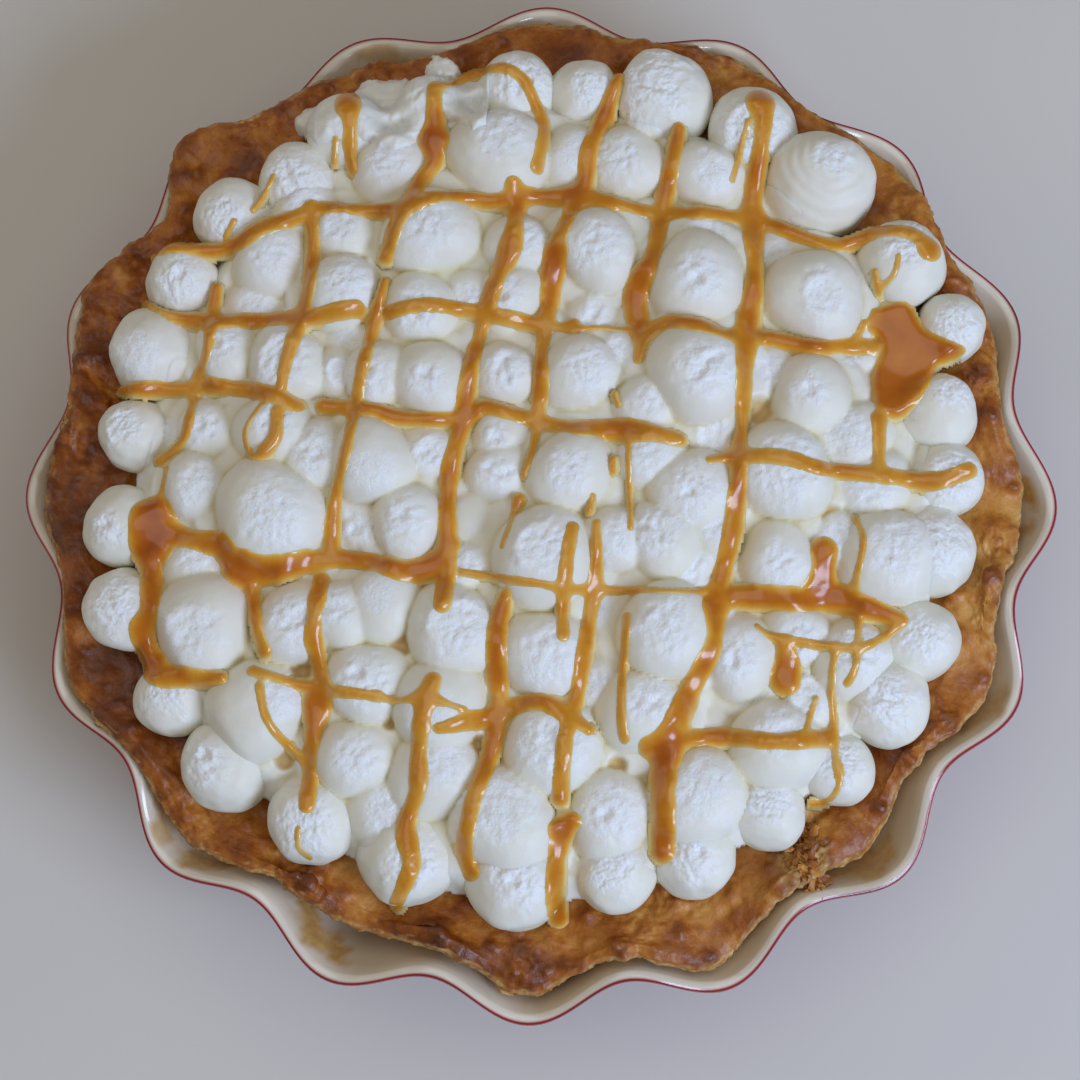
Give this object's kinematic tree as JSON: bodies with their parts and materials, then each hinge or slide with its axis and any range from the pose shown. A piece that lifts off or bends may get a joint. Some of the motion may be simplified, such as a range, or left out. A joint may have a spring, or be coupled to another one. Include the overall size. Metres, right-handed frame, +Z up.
{
  "type": "dulce de leche pie in its own dish",
  "caption": "Caramel-filled pie in a ruffled ceramic dish: flaky golden crust, heaped piped whipped cream and a lattice of caramel drizzle.",
  "frame": {"origin": "under the middle of the dish, on the surface that its foot ring rests on", "axes": "+Z up, out of the dish's open top; one crest of the ruffle points along +X; +Y is the pie's far side as the picture shows it"},
  "size_m": [0.272, 0.272, 0.0966],
  "materials": {
    "dish": "glossy glaze, cream white inside and deep red outside",
    "crust": "baked flaky pastry, egg-washed, golden to dark brown, satin sheen on the raised places",
    "filling": "soft tan milk caramel, smooth and slightly glossy",
    "whipped_cream": "whipped dairy cream, soft white, smooth on the sides and torn at the tips",
    "caramel": "glossy caramel drizzle, amber where it is thin and brown where it is thick"
  },
  "bodies": {
    "root": {"dish": "dish", "crust": "crust", "filling": "filling", "whipped_cream": "whipped_cream"}
  },
  "joints": []
}
